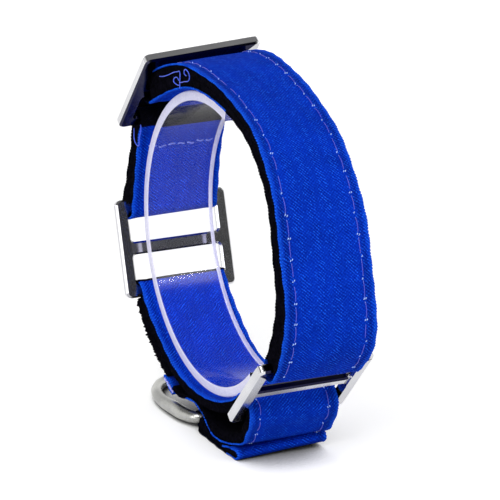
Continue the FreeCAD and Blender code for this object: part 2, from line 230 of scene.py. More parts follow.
def wall_faces(rows, columns, closed=False, flip=False):
    """Faces of rows of points, each row a loop; the first and last are capped or joined."""
    faces = []
    for i in range(rows if closed else rows - 1):
        this, after = i * columns, (i + 1) % rows * columns
        for j in range(columns):
            beside = (j + 1) % columns
            faces.append((this + j, this + beside, after + beside, after + j))
    if not closed:
        last = (rows - 1) * columns
        faces += [tuple(range(columns))[::-1], tuple(range(last, last + columns))]
    return [face[::-1] for face in faces] if flip else faces


def section(width):
    """Outline of webbing with round edges, as (across, depth under the face), and how far
    each point belongs to the upper side, from 0 to 1."""
    half, r = width / 2, WEBBING / 2
    across = np.linspace(-(half - r), half - r, int(width / 1.25))
    turn = np.linspace(0, math.pi, 6)[1:-1]
    top = [(y, 0.0) for y in across]
    right = [(half - r + r * math.sin(a), r - r * math.cos(a)) for a in turn]
    bottom = [(y, WEBBING) for y in across[::-1]]
    left = [(-(half - r) - r * math.sin(a), r + r * math.cos(a)) for a in turn]
    upper = [1.0] * len(top) + [0.5] * len(right) + [0.0] * len(bottom) + [0.5] * len(left)
    return np.array(top + right + bottom + left), np.array(upper)


def strap(name, face, relief, dark, width=STRAP_WIDTH, closed=False):
    """Webbing under a face. relief(s, y, upper) raises it; dark(s, y) is 1 where the webbing is painted
    near-black: partly where black pile is stitched over it, partly as painted shade."""
    outline, upper = section(width)
    s = face.s[:-1] if closed else face.s
    along, y = s[:, None], outline[:, 0][None, :]
    lift = relief(along, y, upper[None, :]) - outline[:, 1][None, :]
    side = np.clip((np.abs(y) - (width / 2 - 4)) / 4, 0, 1) * np.sign(y)
    y = y + side * fray(along, y)
    points = face.at(along, y, lift)
    around = np.r_[0, np.cumsum(np.linalg.norm(np.diff(outline, axis=0), axis=1))]
    uv = np.stack(np.broadcast_arrays(along, around[None, :]), -1)
    # shade: a painted highlight along each edge, a painted shade stripe a little inside it, and -1 where dark
    # paints the webbing near-black
    inset = width / 2 - np.abs(y)
    shade = (np.clip((EDGE_BAND - inset) / EDGE_BAND, 0, 1) ** 0.7 * 0.62
             - 0.34 * np.exp(-((inset - EDGE_STRIPE) / 1.1) ** 2))
    pile_and_shade = dark(along, y)
    parts = [(points.reshape(-1, 3), wall_faces(*points.shape[:2], closed, flip=True))]
    uvs, shades = [uv.reshape(-1, 2)], [(shade * (1 - pile_and_shade) - pile_and_shade).ravel()]
    # the selvedge: a yarn along each edge, swelling at every turn of the weft, with a painted highlight that
    # pulses with the weft
    sides = 6
    weft = np.sin(2 * math.pi * s / WEFT_PITCH)
    for column in (int(np.argmax(outline[:, 0])), int(np.argmin(outline[:, 0]))):
        swell = 0.42 + 0.18 * np.sin(2 * math.pi * s / WEFT_PITCH + column) * np.sin(s / 3.1)
        parts.append(tube(points[:, column], swell, sides, closed))
        uvs.append(np.repeat(uv[:, column], sides, axis=0))
        pile_and_shade = dark(s, np.full_like(s, y[0, column]))
        shades.append(np.repeat((0.7 + 0.3 * weft) * (1 - pile_and_shade) - pile_and_shade, sides))
    all_points, all_faces = gather(parts)
    return make_mesh(name, all_points, all_faces, BLUE, np.vstack(uvs) * MM,
                     np.concatenate(shades))


def tube(points, radius, sides=THREAD_SIDES, closed=False):
    """Points and faces of a round tube along a line of points; radius may vary along it."""
    p = np.asarray(points, float)
    way = np.gradient(p, axis=0)
    way /= np.linalg.norm(way, axis=1)[:, None]
    side = np.cross(way[0], [0.0, 1.0, 0.0] if abs(way[0][1]) < 0.9 else [1.0, 0.0, 0.0])
    turned = []
    for w in way:
        side = side - w * (side @ w)
        side /= np.linalg.norm(side)
        turned.append(side)
    side = np.array(turned)
    other = np.cross(way, side)
    angle = np.linspace(0, 2 * math.pi, sides, endpoint=False)
    r = np.broadcast_to(radius, len(p))[:, None, None]
    ring = (side[:, None] * np.cos(angle)[None, :, None]
            + other[:, None] * np.sin(angle)[None, :, None])
    return (p[:, None] + ring * r).reshape(-1, 3), wall_faces(len(p), sides, closed)


def gather(parts):
    """Several (points, faces) joined into one."""
    points, faces, count = [], [], 0
    for part_points, part_faces in parts:
        points.append(part_points)
        faces += [tuple(i + count for i in face) for face in part_faces]
        count += len(part_points)
    return np.vstack(points), faces


# ---- materials ----

class Nodes:
    """Short forms for building the nodes of a material or a world."""

    def __init__(self, owner):
        owner.use_nodes = True
        self.owner, self.tree = owner, owner.node_tree
        self.shader = self.tree.nodes.get("Principled BSDF")

    def add(self, kind, inputs=None, **settings):
        node = self.tree.nodes.new(kind)
        for key, value in settings.items():
            setattr(node, key, value)
        for key, value in (inputs or {}).items():
            self.set(node.inputs[key], value)
        return node

    def set(self, socket, value):
        if isinstance(value, bpy.types.NodeSocket):
            self.tree.links.new(value, socket)
        else:
            socket.default_value = value

    def math(self, operation, a, b=0.0):
        return self.add("ShaderNodeMath", {0: a, 1: b}, operation=operation).outputs[0]

    def times(self, a, b):
        return self.math("MULTIPLY", a, b)

    def plus(self, a, b):
        return self.math("ADD", a, b)

    def mix(self, factor, a, b, kind="MIX"):
        inputs = {0: factor, 6: a, 7: b}       # the sockets of its colour form
        return self.add("ShaderNodeMix", inputs, data_type="RGBA", blend_type=kind).outputs[2]

    def grey(self, value):
        return self.add("ShaderNodeCombineColor", {
            "Red": value, "Green": value, "Blue": value}).outputs["Color"]

    def split(self, vector):
        return self.add("ShaderNodeSeparateXYZ", {"Vector": vector}).outputs

    def place(self):
        return self.add("ShaderNodeTexCoord").outputs["Object"]

    def noise(self, scale, detail=2.0, roughness=0.5):
        return self.add("ShaderNodeTexNoise", {
            "Scale": scale, "Detail": detail, "Roughness": roughness,
            "Vector": self.place()}).outputs["Fac"]

    def ramp(self, factor, low, high, from_value=0.0, to_value=1.0):
        return self.add("ShaderNodeMapRange", {
            "Value": factor, "From Min": low, "From Max": high,
            "To Min": from_value, "To Max": to_value}).outputs["Result"]

    def shade(self):
        return self.add("ShaderNodeAttribute", attribute_name="shade").outputs["Fac"]

    def surface(self, values, height=None, strength=0.0, distance=0.0):
        """Sets the shader's values, and its bump where a height is given."""
        for key, value in values.items():
            self.set(self.shader.inputs[key], value)
        if height is not None:
            bump = self.add("ShaderNodeBump", {"Height": height, "Strength": strength,
                                               "Distance": distance})
            self.set(self.shader.inputs["Normal"], bump.outputs["Normal"])
        return self.owner


def webbing_material(name, deep, bright, pale):
    """Plain-woven nylon: coarse yarns each way with a diagonal rib and bright floats. Shade above 0 puts a painted
    highlight along the edges; shade below 0 paints the webbing near-black, partly for pile over it and partly as
    painted shade."""
    m = Nodes(bpy.data.materials.new(name))
    yarn = 0.9 * MM
    xy = m.split(m.add("ShaderNodeUVMap", uv_map="strap").outputs["UV"])
    wobble = m.times(m.math("SUBTRACT", m.noise(230.0), 0.5), 1.3 * yarn)
    along = m.times(m.plus(xy["X"], wobble), math.pi / yarn)
    across = m.times(m.plus(xy["Y"], wobble), math.pi / yarn)
    cross = m.times(m.math("SINE", along), m.math("SINE", across))
    rib = m.math("SINE", m.plus(along, m.times(across, 0.8)))
    grain = m.math("SUBTRACT", m.noise(1000.0, 3.0), 0.5)
    height = m.plus(m.plus(m.times(cross, 0.42), m.times(rib, 0.40)), m.times(grain, 2.2))
    patches = m.grey(m.ramp(m.noise(70.0, 3.0), 0.3, 0.7, 0.86, 1.12))
    # the colour follows the weave's height, darker in its hollows and lighter on the yarn tops: painted shade in
    # the weave
    colour = m.mix(1.0, m.mix(m.ramp(height, -1.1, 1.1), deep, bright), patches, "MULTIPLY")
    floats = m.plus(height, m.times(m.noise(520.0), 2.0))
    colour = m.mix(m.ramp(floats, 1.40, 2.0, 0.0, 0.75), colour, pale)
    shade = m.shade()
    # painted highlight along the edges, in slanting ticks
    ticks = m.math("SINE", m.times(m.plus(xy["X"], m.times(xy["Y"], 0.7)),
                                   2 * math.pi / (WEFT_PITCH * MM)))
    glint = m.times(m.math("MAXIMUM", shade, 0.0), m.ramp(ticks, -0.8, 0.8, 0.30, 1.0))
    colour = m.mix(m.times(glint, 0.9), colour, pale)
    black_pile_and_shade = m.math("MAXIMUM", m.times(shade, -1.0), 0.0)
    return m.surface({
        "Base Color": m.mix(black_pile_and_shade, colour, (0.0012, 0.0012, 0.003, 1)),
        "Roughness": m.ramp(height, -0.6, 0.8, 0.85, 0.6), "Specular IOR Level": 0.02,
        "Sheen Weight": 0.04, "Sheen Roughness": 0.4, "Sheen Tint": (0.0, 0.12, 1.0, 1.0),
    }, height, 0.6, 0.0003)


def pile_material():
    """Black hook-and-loop: dense fuzz in clumps, almost without shine."""
    m = Nodes(bpy.data.materials.new("black_hook_and_loop"))
    height = m.plus(m.times(m.noise(2600.0, 4.0, 0.7), 0.6), m.noise(620.0, 3.0))
    return m.surface({
        "Base Color": m.mix(m.ramp(height, 0.6, 1.1), (0.0006, 0.0006, 0.0014, 1),
                            (0.004, 0.0035, 0.008, 1)),
        "Roughness": 0.95, "Specular IOR Level": 0.02}, height, 0.9, 0.0006)


def thread_material(name, body, light):
    """Twisted sewing thread; shade mixes in a painted highlight on knots and stitch ends."""
    m = Nodes(bpy.data.materials.new(name))
    twist = m.add("ShaderNodeTexWave", {"Scale": 900.0, "Distortion": 1.5, "Vector": m.place()},
                  bands_direction="DIAGONAL").outputs["Fac"]
    colour = m.mix(m.times(twist, 0.35), body, light)
    return m.surface({"Base Color": m.mix(m.shade(), colour, (0.34, 0.52, 1.0, 1)),
                      "Roughness": 0.45, "Sheen Weight": 0.2}, twist, 0.4, 0.0001)


def slider_material():
    """Polished plating with fine marks; shade is 1 where a face is painted near-black, a painted reflection of the
    black pile.
    """
    m = Nodes(bpy.data.materials.new("polished_plating"))
    marks = m.noise(900.0, 3.0)
    plating = m.mix(m.ramp(m.noise(45.0), 0.3, 0.7), (0.62, 0.62, 0.64, 1),
                    (0.76, 0.76, 0.78, 1))
    return m.surface({"Base Color": m.mix(m.shade(), plating, (0.02, 0.02, 0.05, 1)),
                      "Metallic": 1.0, "Roughness": m.ramp(marks, 0.3, 0.7, 0.12, 0.22)},
                     marks, 0.12, 0.00005)


def ring_material():
    """Satin plated wire, a little cloudy."""
    m = Nodes(bpy.data.materials.new("satin_wire"))
    grain = m.noise(1500.0, 3.0)
    return m.surface({"Base Color": m.mix(m.ramp(m.noise(60.0), 0.3, 0.7),
                                          (0.36, 0.36, 0.345, 1), (0.60, 0.60, 0.57, 1)),
                      "Metallic": 1.0, "Roughness": m.ramp(grain, 0.3, 0.7, 0.24, 0.38)},
                     grain, 0.25, 0.00008)


def clear_material():
    """Clear sheet with polished faces and pale, sawn side edges. Its shadow is thin."""
    m = Nodes(bpy.data.materials.new("clear_former_plastic"))
    haze = m.noise(120.0)
    m.surface({"Base Color": (0.95, 0.95, 1.0, 1), "IOR": 1.10, "Transmission Weight": 1.0,
               "Roughness": m.ramp(haze, 0.3, 0.7, 0.006, 0.02),
               "Coat Weight": 0.32, "Coat Roughness": 0.14}, haze, 0.008, 0.0001)
    sawn = m.add("ShaderNodeBsdfPrincipled", {
        "Base Color": m.mix(m.ramp(m.noise(1400.0, 3.0), 0.3, 0.7), (0.66, 0.65, 0.84, 1),
                            (0.84, 0.83, 0.97, 1)),
        "Roughness": 0.55, "Specular IOR Level": 0.3})
    normal = m.split(m.add("ShaderNodeNewGeometry").outputs["True Normal"])
    sideways = m.math("ABSOLUTE", normal["Y"])
    body = m.add("ShaderNodeMixShader", {0: m.ramp(sideways, 0.35, 0.75, 0.0, 0.92),
                                         1: m.shader.outputs[0], 2: sawn.outputs[0]})
    lit_through = m.add("ShaderNodeBsdfTransparent", {"Color": (0.78, 0.78, 0.85, 1)})
    final = m.add("ShaderNodeMixShader", {
        0: m.add("ShaderNodeLightPath").outputs["Is Shadow Ray"],
        1: body.outputs[0], 2: lit_through.outputs[0]})
    m.set(m.tree.nodes["Material Output"].inputs["Surface"], final.outputs[0])
    return m.owner


BLUE = webbing_material("blue_webbing", (0.0004, 0.009, 0.24, 1), (0.002, 0.050, 0.64, 1),
                        (0.012, 0.14, 0.95, 1))
PILE = pile_material()
THREAD = thread_material("violet_thread", (0.035, 0.045, 0.55, 1), (0.14, 0.14, 0.78, 1))
LOOSE_THREAD = thread_material("blue_thread", (0.015, 0.07, 0.80, 1), (0.10, 0.22, 1.0, 1))
PALE_THREAD = thread_material("pale_thread", (0.36, 0.36, 0.90, 1), (0.60, 0.60, 0.95, 1))
CLEAR = clear_material()
RING = ring_material()
PLATING = slider_material()

random.seed(4)

# ---- the webbing's surface ----


def seam_relief(depth=0.40, flare=0.35, waves=0.35, phase=0.0):
    """Webbing pulled in along its two seams, with slack between stitches and long waves."""
    def relief(s, y, upper):
        near_seam = np.exp(-((np.abs(y) - SEAM_Y) / 1.3) ** 2)
        pull = 0.65 + 0.35 * np.cos(2 * math.pi * s / STITCH_PITCH + phase)
        margin = np.clip((np.abs(y) - SEAM_Y) / SEAM_INSET, 0, 1) ** 2
        long_waves = (np.sin(s / 17 + y / 19 + phase) + np.sin(s / 9.5 - y / 13 + 2 * phase)
                      + 0.6 * np.sin(s / 6.1 + y / 7.7))
        ease = np.clip(np.minimum(s, s.max() - s) / 12, 0, 1)
        lumps = long_waves * waves / 2.6 * ease
        return upper * (-depth * near_seam * pull) + (lumps + flare * margin * ease)
    return relief


def fray(s, y):
    """How far the selvedge stands out: small yarn loops at every weft, and a slow pucker."""
    loops = np.where(np.arange(s.size).reshape(s.shape) % 2 == 0, 0.16, -0.16)
    pucker = np.sin(2 * math.pi * s / STITCH_PITCH + np.sign(y)) * 0.3
    return loops + pucker * 0.6 + 0.25 * np.sin(s / 7.3 + 2 * np.sign(y))


def creases(s, y, upper):
    """The closing strap bends sharply below its slider, which puts slanting creases in it."""
    base = seam_relief(phase=1.0)(s, y, upper)
    for at, slant, depth, wide in ((24.0, 0.22, 0.8, 3.2), (30.0, 0.10, 0.5, 2.6)):
        line = (s - at - y * slant) / wide
        base = base - depth * np.exp(-line ** 2) * np.exp(-((y + 6) / 12) ** 2)
    return base


# ---- profiles: mid-lines of the doubled straps, with the half thickness as third value ----

def profile(first, shape, last, start, end):
    """A mid-line from one fold to another, through (angle, radius, half thickness)."""
    points = [first] + [(*polar(radius, angle), half) for angle, radius, half in shape] + [last]
    return through(points, start, end)


front_start, front_end = bar("bottom_slider", 1), bar("top_slider", 0)
slack = -unit(SLIDER_FACING["bottom_slider"] + 90)     # the fold hangs below the slider's bar
front_near = profile(
    (*(front_start + 2.2 * slack), FOLD + 0.5),
    ((-15, 99.3, 6.4), (-3, 99.6, 6.0), (9, 97.8, 4.6), (22, 98.6, 4.4), (35, 100.4, 4.4),
     (48, 99.0, 4.8), (62, 94.4, 4.6), (78, 90.2, 4.8), (95, 89.2, 5.8), (112, 88.9, 7.0),
     (121, 89.9, 7.4)),
    (*front_end, FOLD + 1.2), 47, 209)
front_far = profile(
    (*(front_start + 3.6 * slack), FOLD + 0.5),
    ((-15, 103.0, 6.2), (-3, 100.0, 5.0), (9, 97.0, 4.4), (22, 95.2, 4.4), (35, 93.2, 4.4),
     (48, 90.8, 4.4), (62, 88.2, 4.4), (78, 87.3, 4.5), (95, 89.2, 5.3), (112, 91.9, 6.6),
     (121, 92.8, 7.2)),
    (*front_end, FOLD + 1.2), 47, 209)
upper_start, upper_end = bar("top_slider", 1), bar("left_slider", -1)
upper_near = profile(
    (*upper_start, FOLD), ((159, 85.6, 4.4), (168, 85.8, 5.2), (175, 87.0, 6.0)),
    (*upper_end, FOLD + 1.2), 238, 272)
upper_far = profile(
    (*upper_start, FOLD), ((159, 86.2, 4.4), (168, 86.2, 4.8), (175, 87.0, 5.4)),
    (*upper_end, FOLD + 0.6), 238, 268)


def doubled(near, far):
    """The closed face of webbing that goes out along one side of a mid-line, round the fold at
    its end and back along the other side. stops are where its four stretches end."""
    edges = []
    for line in (near, far):
        normals, half = outward(line), line[:, 2:3]
        first_angle, last_angle = [math.degrees(math.atan2(*normals[i][::-1])) for i in (0, -1)]
        outer = line[:, :2] + normals * half
        inner = (line[:, :2] - normals * half)[::-1]
        cap_end = arc(line[-1][:2], line[-1][2], last_angle, last_angle + 180)
        cap_start = arc(line[0][:2], line[0][2], first_angle + 180, first_angle + 360)
        edges.append((outer, cap_end[1:-1], inner, cap_start[1:-1]))
    stretches = [matched(near_piece, far_piece) for near_piece, far_piece in zip(*edges)]
    stops = np.cumsum([len(near_piece) for near_piece, _ in stretches]) - 1
    near_line, far_line = [np.vstack([*pieces, pieces[0][:1]]) for pieces in zip(*stretches)]
    face = Face(near_line, far_line, wrapped_out(near_line), wrapped_out(far_line))
    face.stops = face.s[stops]
    face.angle = angle_of(near_line)
    return face


def wrapped_out(line):
    """Unit normals to the right of a closed line, whose last point is its first."""
    way = np.roll(line[:-1], -1, 0) - np.roll(line[:-1], 1, 0)
    way = np.vstack([way, way[:1]])
    way /= np.linalg.norm(way, axis=1)[:, None]
    return np.column_stack([way[:, 1], -way[:, 0]])


def angle_of(points):
    return np.degrees(np.arctan2(points[:, 1] - AXIS[1], points[:, 0] - AXIS[0])) % 360


def where(face, angle, run):
    """How far along a doubled face its outer (0) or inner (2) run passes the angle."""
    first = 0.0 if run == 0 else face.stops[run - 1]
    rows = np.flatnonzero((face.s > first) & (face.s < face.stops[run]))
    gap = (face.angle[rows] - angle + 180) % 360 - 180
    return face.s[rows[np.argmin(np.abs(gap))]]


def side_face(near, far, sign, lift=lambda half: half):
    """A face beside two mid-lines, away from the ring's axis for sign 1 and towards it for -1.
    lift(half) is how far beside, from the half thickness."""
    edges = [line[:, :2] + outward(line) * lift(line[:, 2:3]) * sign for line in (near, far)]
    return face_along(*edges, flip=sign < 0)


# ---- making pieces ----

def as_piece(made, node, body="belt"):
    """Hides the node a piece stands for, and attaches the piece to the body it rides on."""
    if node:
        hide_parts(node)
    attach(made, body)


def webbing(name, face, node, relief, dark, held, under, body="belt", **form):
    """A length of webbing, which is a flat cut of cloth; held and under are not used."""
    cloth = strap(name, face, relief, dark, **form)
    as_piece(cloth, node, body)


def pile(name, upper, lower, node, seed, amount=0.16, body="belt"):
    """A tape of pile between two faces with the same samples, rough on every side."""
    half = PILE_WIDTH / 2
    across = np.linspace(-half, half, int(PILE_WIDTH / 1.6))
    levels = (0.25, 0.5, 0.75)
    outline = np.array([(y, 0.0) for y in across] + [(half, level) for level in levels]
                       + [(y, 1.0) for y in across[::-1]]
                       + [(-half, level) for level in levels[::-1]])
    rows, columns = len(upper.s), len(outline)
    # the draws come in pairs, and the first of each pair is used
    noise = np.random.default_rng(seed).normal(size=(rows, columns, 2))[..., 0]
    noise = (noise + np.roll(noise, 1, 0)) / math.sqrt(2) * amount
    y = np.tile(outline[:, 0], (rows, 1))
    y = y + (np.abs(y) > half - 0.01) * np.sign(y) * np.abs(noise) * 2.2
    top = upper.at(upper.s[:, None], y, 0.0)
    bottom = lower.at(lower.s[:, None], y, 0.0)
    points = top + (bottom - top) * outline[:, 1][None, :, None]
    made = make_mesh(name, points.reshape(-1, 3), wall_faces(rows, columns, flip=True), PILE)
    as_piece(made, node, body)


def pile_pair(name, near, far, start, end, nodes):
    """The two pile tapes between the runs of a doubled strap, meeting along its mid-line."""
    near, far = matched(near, far)
    for label, node, sign, seed in (("_outer", nodes[0], 1, 27), ("_inner", nodes[1], -1, 25)):
        upper = side_face(near, far, sign, lambda half: half - (WEBBING - PILE_SINK))
        lower = side_face(near, far, sign, lambda half: PILE_GAP / 2)
        pile(name + label, upper.part(start, end), lower.part(start, end), node, seed)


def tape(name, face, first, last, start, end, node, seed, amount=0.16):
    """Pile between two depths under a face, from one share of its length to another."""
    pile(name, face.raised(-first).part(start, end), face.raised(-last).part(start, end), node,
         seed, amount)


def stitch_line(face, y, start, end, pitch=STITCH_PITCH, length=STITCH_LENGTH, radius=0.21):
    """A row of running stitches, each dipping into the webbing at its ends, with small knots."""
    parts, shades = [], []
    t = np.linspace(0, 1, 11)
    for i in range(int((end - start) * face.length / pitch)):
        s0 = start * face.length + (i + 0.5) * pitch + random.uniform(-0.5, 0.5)
        drift = random.uniform(-0.3, 0.3)
        s = s0 + t * (length + random.uniform(-0.5, 0.4))
        height = -0.42 + 0.60 * np.sin(math.pi * t) ** 0.5
        line = face.at(s, y + drift * np.sin(math.pi * t) + random.uniform(-0.15, 0.15), height)
        parts.append(tube(line, radius * (0.8 + 0.2 * np.sin(math.pi * t))))
        # a painted highlight at each stitch's ends
        light = np.clip(1 - np.minimum(t, 1 - t) / 0.12, 0, 1) * 0.5
        shades.append(np.repeat(light, THREAD_SIDES))
        for aside in (-0.55, 0.5):
            if random.random() < 0.75:
                knot = face.at(s[0] - 0.9 + random.uniform(-0.5, 0.5)
                               + np.array([-0.35, -0.1, 0.15, 0.4]),
                               y + aside + np.array([-0.2, 0.0, 0.1, 0.2]),
                               np.array([-0.25, 0.20, 0.24, -0.25]))
                parts.append(tube(knot, 0.27))
                # the knots are fully lightened: a painted highlight
                shades.append(np.ones(4 * THREAD_SIDES))
    return *gather(parts), np.concatenate(shades)


def cross_row(face, share, count=7, length=4.0):
    """A row of short stitches across the strap."""
    parts, shades = [], []
    t = np.linspace(0, 1, 9)
    for i in range(count):
        middle = (i - (count - 1) / 2) * (STRAP_WIDTH - 2 * SEAM_INSET) / count
        s = share * face.length + 0.45 * math.sin(2.1 * i) + 0.35 * np.sin(5.0 * t + i)
        height = -0.4 + 0.75 * np.sin(math.pi * t) ** 0.5
        parts.append(tube(face.at(s, middle + (t - 0.5) * length, height), 0.45))
        # lightened towards the highlight colour, most at the start: a painted highlight
        shades.append(np.repeat(0.35 + 0.4 * (t < 0.15), THREAD_SIDES))
    return *gather(parts), np.concatenate(shades)


def seams(name, rows, node, material=THREAD):
    """One piece from several rows of stitches."""
    points, faces = gather([(points, faces) for points, faces, _ in rows])
    made = make_mesh(name, points, faces, material,
                     shade=np.concatenate([shade for _, _, shade in rows]))
    as_piece(made, node)


def loose(name, radius, strands):
    """Loose yarn on the near side, from (points, first way, last way)."""
    parts = []
    for points, first_way, last_way in strands:
        line = through(points, first_way, last_way, 0.3)
        depth = -STRAP_WIDTH / 2 - 0.75 + 0.25 * np.sin(travelled(line) / 1.7)
        parts.append(tube(np.column_stack([line[:, 0], depth, line[:, 1]]), radius))
    as_piece(make_mesh(name, *gather(parts), LOOSE_THREAD), None)


# ---- front strap ----
front_face = doubled(front_near, front_far)


def front_dark(s, y):
    """Painted black round the fold at the top slider and over the inner run's near edge: partly the black pile,
    partly painted shade.
    """
    fold = (s > where(front_face, 119.5, 0)) & (s < where(front_face, 136.2, 2))
    near_fold = (s > front_face.stops[0] - 3) & (s < where(front_face, 137.5, 2))
    inner_edge = (s > where(front_face, 66, 2)) & (s < front_face.stops[2] - 2)
    edge_line = y < 1.2 - STRAP_WIDTH / 2
    return np.where(y < NEAR_MARGIN, near_fold, fold) * 1.0 + inner_edge * edge_line * 1.0


webbing("front_webbing", front_face, "front_strap_webbing", seam_relief(), front_dark,
        "stretched", ["bottom_slider", "top_slider"], closed=True)
pile_pair("front_pile", front_near, front_far, 0.015, 0.99, ("front_loop_pile", "front_hook_pile"))
front_outer = side_face(front_near, front_far, 1)
seams("front_seams", [stitch_line(front_outer, y, 0.0, 0.90) for y in (-SEAM_Y, SEAM_Y)],
      "front_stitching")

# ---- upper strap ----
upper_face = doubled(upper_near, upper_far)


def upper_dark(s, y):
    """Painted black over both folds and the near edge of the outer run: partly the black pile, partly painted
    shade.
    """
    blue = (s > upper_face.stops[1] - 10) & (s < where(upper_face, 145.5, 2))
    return 1.0 - blue * (1.0 + 0.0 * y) - (s < upper_face.stops[0]) * (y > NEAR_MARGIN)


webbing("upper_webbing", upper_face, "upper_strap_webbing", seam_relief(depth=0.15, waves=0.2),
        upper_dark, "stretched", ["top_slider", "left_slider"], closed=True)
pile_pair("upper_pile", upper_near, upper_far, 0.09, 0.95, ("upper_loop_pile", "upper_hook_pile"))

# pile behind the top slider's window, between the folds of the front and upper straps: partly pile, partly a dark
# piece that paints the shade there
window_line = through([polar(98.6, 119.0), polar(98.0, 126.0), polar(97.2, 133.5),
                       polar(97.5, 139.5), polar(95.0, 145.0), polar(90.0, 146.0),
                       polar(HUG + 4.2, 147.6)], 211, 246)
window_face = face_along(window_line, flip=True)
pile("window_pile", window_face, window_face.raised(-4.6), None, 25)

# ---- lower strap: blue face inward, pile and a black outer run ----
lower_start = bar("left_slider", 1)
lower_way = 309.0
lower_first = lower_start + unit(lower_way + 90) * FOLD
closing_bar = bar("bottom_slider", -1)
closing_facing = SLIDER_FACING["bottom_slider"]
closing_radius = FOLD + 4.4
lower_line = through(
    [lower_first] + [polar(HUG + extra, a) for extra, a in
                     ((1.2, 224), (0.15, 236), (0, 250), (0, 266), (0.1, 281), (1.2, 294))]
    + [closing_bar + unit(closing_facing - 180) * closing_radius],
    lower_way, closing_facing - 270)
left_fold = arc(lower_start, FOLD, lower_way + 270, lower_way + 90)[:-1]
fold_length = travelled(left_fold)[-1]
webbing("lower_webbing", face_along(np.vstack([left_fold, lower_line]), flip=True),
        "lower_strap_webbing", seam_relief(depth=0.12, waves=0.2),
        # the fold round the left slider is painted black: partly pile, partly painted shade
        lambda s, y: (s < fold_length - 3.0) * (1.0 + 0.0 * y),
        "stretched", ["left_slider", "bottom_slider"])
lower_inner = face_along(lower_line, flip=True)
run_end = np.searchsorted(angle_of(lower_line), 245.5) / (len(lower_line) - 1)
tape("lower_pile", lower_inner, WEBBING - PILE_SINK, FOLD, 0.03, 1.0, "lower_loop_pile", 32)
tape("lower_outer_pile", lower_inner, FOLD, 2 * FOLD, 0.03, run_end, "lower_outer_run", 33, 0.35)

# ---- closing strap: blue face outward and down, its cut end turned under on the tab ----
TAB_ANGLE = 243.5
tab_radius = HUG + 2 * FOLD + 1.7
closing_turn = arc(closing_bar, closing_radius, closing_facing - 180, closing_facing - 360)
closing_points = [closing_bar + unit(closing_facing) * closing_radius]
closing_points += [np.array([AXIS[0] + x, z]) for x, z in (
    (56, 12.3), (46, 8.2), (35, 5.3), (24, 4.0), (15.5, 5.4), (8, 10.6), (-3, 15.0), (-11, 14.6),
    (-18, 13.0), (-25, 12.1))]
closing_points += [polar(tab_radius, a) for a in (251, TAB_ANGLE)]
closing_line = through(closing_points, closing_facing - 90, TAB_ANGLE - 90)
hem_radius = 0.55
tab_turn = arc(polar(tab_radius + hem_radius, TAB_ANGLE), hem_radius, TAB_ANGLE - 180,
               TAB_ANGLE - 360, 0.15)
tab_hem = through([polar(tab_radius + 2 * hem_radius, TAB_ANGLE), polar(tab_radius + 1.5, 247),
                   polar(tab_radius + 2.3, 251.2)], TAB_ANGLE - 270, TAB_ANGLE - 269.5)
closing_face = face_along(
    np.vstack([closing_turn[:-1], closing_line, tab_turn[1:], tab_hem[1:]]), flip=True)
turn_length = travelled(closing_turn)[-1]
strap_length = turn_length + travelled(closing_line)[-1]


def closing_share(share):
    """A share of the closing strap's own length, as a share of the face's rows."""
    return (turn_length + share * (strap_length - turn_length)) / closing_face.length


def closing_dark(s, y):
    """The near edge between the tab and the hump over the D-ring is painted black: partly pile, partly painted
    shade.
    """
    painted_black = (s > closing_share(0.74) * closing_face.length) & (
        s < closing_share(0.90) * closing_face.length)
    return painted_black * (y < NEAR_MARGIN) * 1.0


webbing("closing_webbing", closing_face, "closing_strap_webbing", creases, closing_dark,
        "folded", ["bottom_slider"])
tape("closing_pile", closing_face, WEBBING - PILE_SINK, FOLD, 0.0, closing_share(0.47),
     "closing_strap_pile", 34)
# a thin black lining on the strap's inside as far as the tab, where it shows black: partly pile, partly painted
# shade
tape("closing_lining", closing_face, WEBBING - PILE_SINK, WEBBING + 0.7, closing_share(0.46),
     closing_share(0.90), None, 35)
seams("closing_seams", [stitch_line(closing_face, y, 0.3 * turn_length / closing_face.length,
                                    closing_share(0.42)) for y in (-SEAM_Y, SEAM_Y)],
      "closing_stitching")
seams("tab_overlock", [
    stitch_line(closing_face, -STRAP_WIDTH / 2 + inset, closing_share(1.0) + 0.008, 0.998,
                pitch=2.3, length=1.9, radius=0.6) for inset in (0.0, 1.7)], None, PALE_THREAD)
seams("cross_seams", [cross_row(side_face(upper_near, upper_far, -1), 0.26),
                      cross_row(closing_face, closing_share(0.95))], "cross_stitching")

# ---- loose threads on the near side: by the top slider's fold, and a loop on the upper strap ----
loose("fold_threads", 0.27, [
    ([(-49.2, 184.4), (-42.1, 186.2), (-33.7, 189.6), (-27.5, 191.8), (-22.9, 192.4),
      (-22.6, 190.0), (-23.8, 187.4), (-23.8, 183.8)], 10, 268),
    ([(-23.4, 187.0), (-18.5, 188.6), (-12.0, 191.6), (-12.4, 194.6), (-16.5, 195.6),
      (-18.4, 193.4), (-15.0, 192.6)], 15, 10),
    ([(-23.6, 185.6), (-27.5, 184.9), (-30.6, 186.4), (-28.8, 188.6), (-25.2, 187.6)],
     190, 300)])
loose("upper_loop", 0.30, [([(-74.6, 151.8), (-75.4, 146.5), (-79.5, 139.0), (-83.2, 143.0),
                             (-84.0, 147.7)], 265, 90)])

# ---- fold round the D-ring ----
ring_bar = joint_place("d_ring_swing")
tail_hinge = joint_place("tail_peel")
fold_out = ring_bar[1]


def closing_height(x):
    """Height of the closing strap's blue face over the floor."""
    order = np.argsort(closing_line[:, 0])
    return np.interp(x, closing_line[order, 0], closing_line[order, 1])


